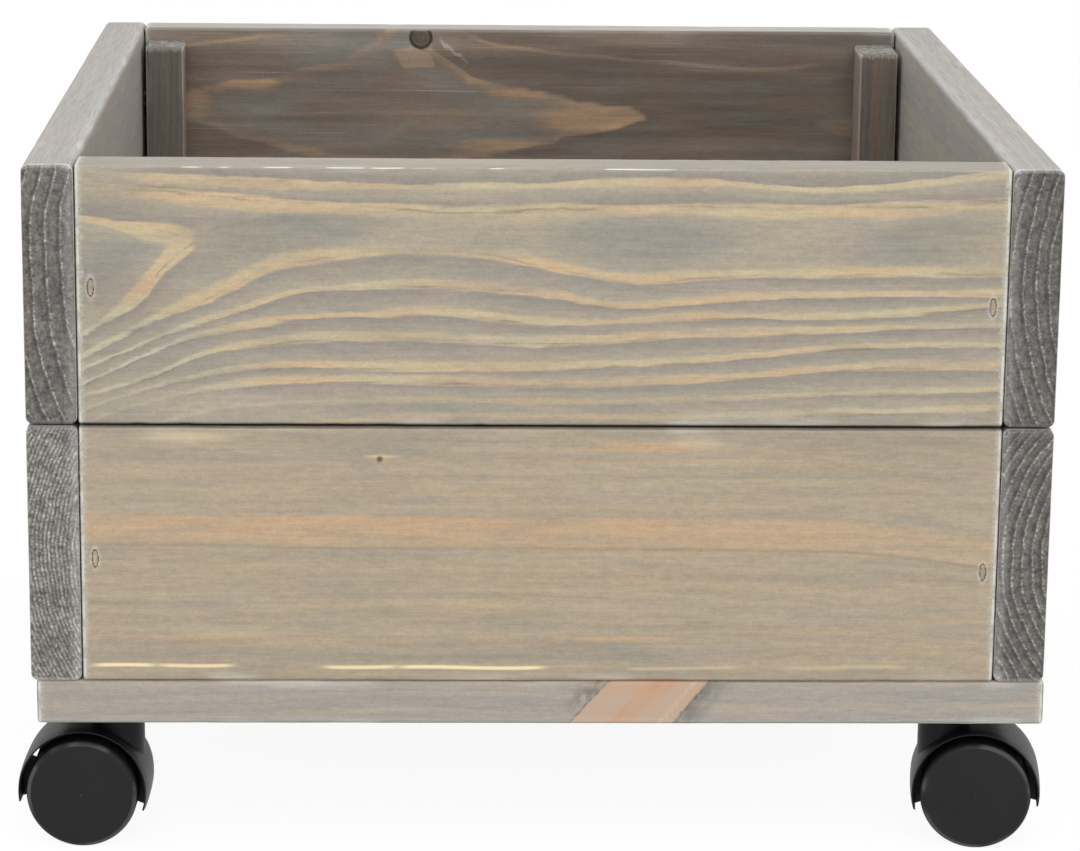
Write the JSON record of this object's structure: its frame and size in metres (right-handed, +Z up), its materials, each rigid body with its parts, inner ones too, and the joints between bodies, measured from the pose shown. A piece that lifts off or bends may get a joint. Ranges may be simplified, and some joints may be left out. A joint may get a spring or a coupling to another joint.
{
  "type": "rolling planter",
  "caption": "Square timber planter box: stacked wall boards on corner battens, a gapped board floor that drains, and twin-wheel swivel casters under the corners.",
  "frame": {"origin": "on the ground under the middle of the planter, at the bottom centre of its bounding box", "axes": "+Z up; +X to the right seen from the front; the front faces -Y, so +Y points to the back"},
  "size_m": [0.3952, 0.38, 0.2656],
  "materials": {
    "grey_wood": "grey-washed planed softwood with tan grain",
    "batten_wood": "grey-washed sawn softwood",
    "floor_wood": "grey-washed planed softwood",
    "staple_wire": "resin-coated wire",
    "screw_steel": "plain",
    "zinc_plate": "zinc plated",
    "hood_plastic": "moulded, fine matte grain",
    "wheel_plastic": "moulded, satin"
  },
  "bodies": {
    "planter": {"upper_front_board": "grey_wood", "upper_back_board": "grey_wood", "upper_left_board": "grey_wood", "upper_right_board": "grey_wood", "lower_front_board": "grey_wood", "lower_back_board": "grey_wood", "lower_left_board": "grey_wood", "lower_right_board": "grey_wood", "front_left_batten": "batten_wood", "front_right_batten": "batten_wood", "rear_left_batten": "batten_wood", "rear_right_batten": "batten_wood", "floor_board_1": "floor_wood", "floor_board_2": "floor_wood", "floor_board_3": "floor_wood", "floor_board_4": "floor_wood", "board_staples": "staple_wire", "floor_screws": "screw_steel", "caster_screws": "screw_steel", "front_left_caster_plate": "zinc_plate", "front_left_caster_stem": "zinc_plate", "front_left_caster_snap_ring": "screw_steel", "front_right_caster_plate": "zinc_plate", "front_right_caster_stem": "zinc_plate", "front_right_caster_snap_ring": "screw_steel", "rear_left_caster_plate": "zinc_plate", "rear_left_caster_stem": "zinc_plate", "rear_left_caster_snap_ring": "screw_steel", "rear_right_caster_plate": "zinc_plate", "rear_right_caster_stem": "zinc_plate", "rear_right_caster_snap_ring": "screw_steel"},
    "front_left_fork": {"front_left_caster_hood": "hood_plastic", "front_left_caster_axle": "screw_steel"},
    "front_left_front_wheel": {"front_left_caster_front_wheel": "wheel_plastic"},
    "front_left_rear_wheel": {"front_left_caster_rear_wheel": "wheel_plastic"},
    "front_right_fork": {"front_right_caster_hood": "hood_plastic", "front_right_caster_axle": "screw_steel"},
    "front_right_front_wheel": {"front_right_caster_front_wheel": "wheel_plastic"},
    "front_right_rear_wheel": {"front_right_caster_rear_wheel": "wheel_plastic"},
    "rear_left_fork": {"rear_left_caster_hood": "hood_plastic", "rear_left_caster_axle": "screw_steel"},
    "rear_left_front_wheel": {"rear_left_caster_front_wheel": "wheel_plastic"},
    "rear_left_rear_wheel": {"rear_left_caster_rear_wheel": "wheel_plastic"},
    "rear_right_fork": {"rear_right_caster_hood": "hood_plastic", "rear_right_caster_axle": "screw_steel"},
    "rear_right_front_wheel": {"rear_right_caster_front_wheel": "wheel_plastic"},
    "rear_right_rear_wheel": {"rear_right_caster_rear_wheel": "wheel_plastic"}
  },
  "joints": [
    {"name": "front_left_swivel", "type": "hinge", "parent": "planter", "child": "front_left_fork", "pos_m": [-0.1598, -0.1605, 0.0512], "axis": [0, 0, 1], "continuous": true},
    {"name": "front_left_front_wheel_spin", "type": "hinge", "parent": "front_left_fork", "child": "front_left_front_wheel", "pos_m": [-0.17259, -0.16014, 0.0211], "axis": [-0.0279, -0.9996, 0], "continuous": true},
    {"name": "front_left_rear_wheel_spin", "type": "hinge", "parent": "front_left_fork", "child": "front_left_rear_wheel", "pos_m": [-0.17259, -0.16014, 0.0211], "axis": [-0.0279, -0.9996, 0], "continuous": true},
    {"name": "front_right_swivel", "type": "hinge", "parent": "planter", "child": "front_right_fork", "pos_m": [0.157, -0.1605, 0.0512], "axis": [0, 0, 1], "continuous": true},
    {"name": "front_right_front_wheel_spin", "type": "hinge", "parent": "front_right_fork", "child": "front_right_front_wheel", "pos_m": [0.1697, -0.16206, 0.0211], "axis": [0.1219, 0.9925, 0], "continuous": true},
    {"name": "front_right_rear_wheel_spin", "type": "hinge", "parent": "front_right_fork", "child": "front_right_rear_wheel", "pos_m": [0.1697, -0.16206, 0.0211], "axis": [0.1219, 0.9925, 0], "continuous": true},
    {"name": "rear_left_swivel", "type": "hinge", "parent": "planter", "child": "rear_left_fork", "pos_m": [-0.157, 0.1605, 0.0512], "axis": [0, 0, 1], "continuous": true},
    {"name": "rear_left_front_wheel_spin", "type": "hinge", "parent": "rear_left_fork", "child": "rear_left_front_wheel", "pos_m": [-0.1697, 0.16206, 0.0211], "axis": [-0.1219, -0.9925, 0], "continuous": true},
    {"name": "rear_left_rear_wheel_spin", "type": "hinge", "parent": "rear_left_fork", "child": "rear_left_rear_wheel", "pos_m": [-0.1697, 0.16206, 0.0211], "axis": [-0.1219, -0.9925, 0], "continuous": true},
    {"name": "rear_right_swivel", "type": "hinge", "parent": "planter", "child": "rear_right_fork", "pos_m": [0.1598, 0.1605, 0.0512], "axis": [0, 0, 1], "continuous": true},
    {"name": "rear_right_front_wheel_spin", "type": "hinge", "parent": "rear_right_fork", "child": "rear_right_front_wheel", "pos_m": [0.17259, 0.16014, 0.0211], "axis": [0.0279, 0.9996, 0], "continuous": true},
    {"name": "rear_right_rear_wheel_spin", "type": "hinge", "parent": "rear_right_fork", "child": "rear_right_rear_wheel", "pos_m": [0.17259, 0.16014, 0.0211], "axis": [0.0279, 0.9996, 0], "continuous": true}
  ]
}
